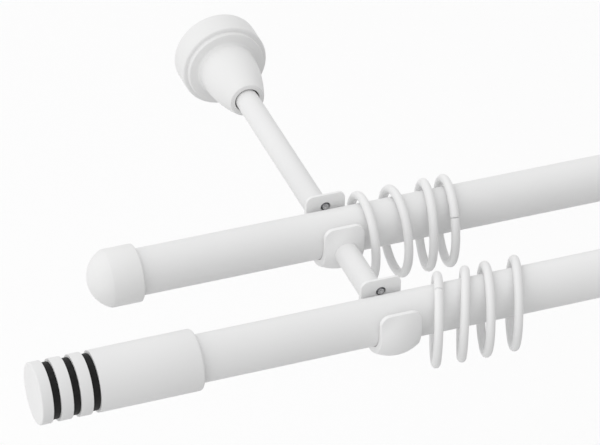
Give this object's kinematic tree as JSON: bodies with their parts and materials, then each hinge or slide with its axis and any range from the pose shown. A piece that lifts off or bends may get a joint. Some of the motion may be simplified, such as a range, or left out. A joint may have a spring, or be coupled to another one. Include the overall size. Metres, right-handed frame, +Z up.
{
  "type": "double curtain rod with brackets",
  "caption": "White double curtain rod on two wall brackets, with turned end finials with black bands, domed end caps, open rod saddles and sliding curtain rings.",
  "frame": {"origin": "centre of the left bracket's wall face, on the arm's axis", "axes": "+X along the rods to the right, +Y into the wall, +Z up"},
  "size_m": [1.332, 0.2892, 0.0568],
  "materials": {
    "white_metal": "satin white powder coat",
    "white_plastic": "satin",
    "ring_plastic": "satin",
    "zinc_steel": "zinc plated",
    "black_rubber": "matte"
  },
  "bodies": {
    "brackets": {"left_wall_plate": "zinc_steel", "left_wall_arm": "white_metal", "left_extension_arm": "white_metal", "left_joining_studs": "zinc_steel", "left_rear_holder": "white_metal", "left_front_holder": "white_metal", "right_wall_plate": "zinc_steel", "right_wall_arm": "white_metal", "right_extension_arm": "white_metal", "right_joining_studs": "zinc_steel", "right_rear_holder": "white_metal", "right_front_holder": "white_metal"},
    "rear_rod": {"rear_rod_tube": "white_metal"},
    "front_rod": {"front_rod_tube": "white_metal"},
    "left_rosette": {"left_rosette": "white_plastic", "left_rosette_grub_screw": "zinc_steel"},
    "left_rear_clamp_screw": {"left_rear_clamp_screw": "zinc_steel"},
    "left_front_clamp_screw": {"left_front_clamp_screw": "zinc_steel"},
    "left_finial": {"left_finial_body": "white_metal", "left_finial_band_1": "black_rubber", "left_finial_band_2": "black_rubber", "left_finial_band_3": "black_rubber", "left_finial_grub_screw": "zinc_steel"},
    "left_end_cap": {"left_rear_end_cap": "white_plastic"},
    "left_rear_ring_1": {"left_rear_ring_1": "ring_plastic"},
    "left_rear_ring_2": {"left_rear_ring_2": "ring_plastic"},
    "left_rear_ring_3": {"left_rear_ring_3": "ring_plastic"},
    "left_rear_ring_4": {"left_rear_ring_4": "ring_plastic"},
    "left_front_ring_1": {"left_front_ring_1": "ring_plastic"},
    "left_front_ring_2": {"left_front_ring_2": "ring_plastic"},
    "left_front_ring_3": {"left_front_ring_3": "ring_plastic"},
    "left_front_ring_4": {"left_front_ring_4": "ring_plastic"},
    "right_rosette": {"right_rosette": "white_plastic", "right_rosette_grub_screw": "zinc_steel"},
    "right_rear_clamp_screw": {"right_rear_clamp_screw": "zinc_steel"},
    "right_front_clamp_screw": {"right_front_clamp_screw": "zinc_steel"},
    "right_finial": {"right_finial_body": "white_metal", "right_finial_band_1": "black_rubber", "right_finial_band_2": "black_rubber", "right_finial_band_3": "black_rubber", "right_finial_grub_screw": "zinc_steel"},
    "right_end_cap": {"right_rear_end_cap": "white_plastic"},
    "right_rear_ring_1": {"right_rear_ring_1": "ring_plastic"},
    "right_rear_ring_2": {"right_rear_ring_2": "ring_plastic"},
    "right_rear_ring_3": {"right_rear_ring_3": "ring_plastic"},
    "right_rear_ring_4": {"right_rear_ring_4": "ring_plastic"},
    "right_front_ring_1": {"right_front_ring_1": "ring_plastic"},
    "right_front_ring_2": {"right_front_ring_2": "ring_plastic"},
    "right_front_ring_3": {"right_front_ring_3": "ring_plastic"},
    "right_front_ring_4": {"right_front_ring_4": "ring_plastic"}
  },
  "joints": [
    {"name": "rear_rod_lift", "type": "slide", "parent": "brackets", "child": "rear_rod", "axis": [0, 0, 1], "range_m": [0, 0.06]},
    {"name": "front_rod_lift", "type": "slide", "parent": "brackets", "child": "front_rod", "axis": [0, 0, 1], "range_m": [0, 0.06]},
    {"name": "left_rosette_slide", "type": "slide", "parent": "brackets", "child": "left_rosette", "axis": [0, -1, 0], "range_m": [0, 0.1]},
    {"name": "left_rear_clamp_screw_advance", "type": "slide", "parent": "brackets", "child": "left_rear_clamp_screw", "axis": [0, -1, 0], "range_m": [0, 0.0015]},
    {"name": "left_front_clamp_screw_advance", "type": "slide", "parent": "brackets", "child": "left_front_clamp_screw", "axis": [0, -1, 0], "range_m": [0, 0.0015]},
    {"name": "left_finial_pull_off", "type": "slide", "parent": "front_rod", "child": "left_finial", "axis": [-1, 0, 0], "range_m": [0, 0.03]},
    {"name": "left_end_cap_pull_off", "type": "slide", "parent": "rear_rod", "child": "left_end_cap", "axis": [-1, 0, 0], "range_m": [0, 0.025]},
    {"name": "left_rear_ring_1_slide", "type": "slide", "parent": "rear_rod", "child": "left_rear_ring_1", "axis": [1, 0, 0], "range_m": [-0.001, 0.095]},
    {"name": "left_rear_ring_2_slide", "type": "slide", "parent": "left_rear_ring_1", "child": "left_rear_ring_2", "axis": [1, 0, 0], "range_m": [-0.0124, 0.095]},
    {"name": "left_rear_ring_3_slide", "type": "slide", "parent": "left_rear_ring_2", "child": "left_rear_ring_3", "axis": [1, 0, 0], "range_m": [-0.0084, 0.095]},
    {"name": "left_rear_ring_4_slide", "type": "slide", "parent": "left_rear_ring_3", "child": "left_rear_ring_4", "axis": [1, 0, 0], "range_m": [-0.0054, 0.095]},
    {"name": "left_front_ring_1_slide", "type": "slide", "parent": "front_rod", "child": "left_front_ring_1", "axis": [1, 0, 0], "range_m": [-0.0033, 0.095]},
    {"name": "left_front_ring_2_slide", "type": "slide", "parent": "left_front_ring_1", "child": "left_front_ring_2", "axis": [1, 0, 0], "range_m": [-0.008, 0.095]},
    {"name": "left_front_ring_3_slide", "type": "slide", "parent": "left_front_ring_2", "child": "left_front_ring_3", "axis": [1, 0, 0], "range_m": [-0.0041, 0.095]},
    {"name": "left_front_ring_4_slide", "type": "slide", "parent": "left_front_ring_3", "child": "left_front_ring_4", "axis": [1, 0, 0], "range_m": [-0.0097, 0.095]},
    {"name": "right_rosette_slide", "type": "slide", "parent": "brackets", "child": "right_rosette", "axis": [0, -1, 0], "range_m": [0, 0.1]},
    {"name": "right_rear_clamp_screw_advance", "type": "slide", "parent": "brackets", "child": "right_rear_clamp_screw", "axis": [0, -1, 0], "range_m": [0, 0.0015]},
    {"name": "right_front_clamp_screw_advance", "type": "slide", "parent": "brackets", "child": "right_front_clamp_screw", "axis": [0, -1, 0], "range_m": [0, 0.0015]},
    {"name": "right_finial_pull_off", "type": "slide", "parent": "front_rod", "child": "right_finial", "axis": [1, 0, 0], "range_m": [0, 0.03]},
    {"name": "right_end_cap_pull_off", "type": "slide", "parent": "rear_rod", "child": "right_end_cap", "axis": [1, 0, 0], "range_m": [0, 0.025]},
    {"name": "right_rear_ring_1_slide", "type": "slide", "parent": "rear_rod", "child": "right_rear_ring_1", "axis": [-1, 0, 0], "range_m": [-0.001, 0.095]},
    {"name": "right_rear_ring_2_slide", "type": "slide", "parent": "right_rear_ring_1", "child": "right_rear_ring_2", "axis": [-1, 0, 0], "range_m": [-0.0124, 0.095]},
    {"name": "right_rear_ring_3_slide", "type": "slide", "parent": "right_rear_ring_2", "child": "right_rear_ring_3", "axis": [-1, 0, 0], "range_m": [-0.0084, 0.095]},
    {"name": "right_rear_ring_4_slide", "type": "slide", "parent": "right_rear_ring_3", "child": "right_rear_ring_4", "axis": [-1, 0, 0], "range_m": [-0.0054, 0.095]},
    {"name": "right_front_ring_1_slide", "type": "slide", "parent": "front_rod", "child": "right_front_ring_1", "axis": [-1, 0, 0], "range_m": [-0.0033, 0.095]},
    {"name": "right_front_ring_2_slide", "type": "slide", "parent": "right_front_ring_1", "child": "right_front_ring_2", "axis": [-1, 0, 0], "range_m": [-0.008, 0.095]},
    {"name": "right_front_ring_3_slide", "type": "slide", "parent": "right_front_ring_2", "child": "right_front_ring_3", "axis": [-1, 0, 0], "range_m": [-0.0041, 0.095]},
    {"name": "right_front_ring_4_slide", "type": "slide", "parent": "right_front_ring_3", "child": "right_front_ring_4", "axis": [-1, 0, 0], "range_m": [-0.0097, 0.095]}
  ]
}
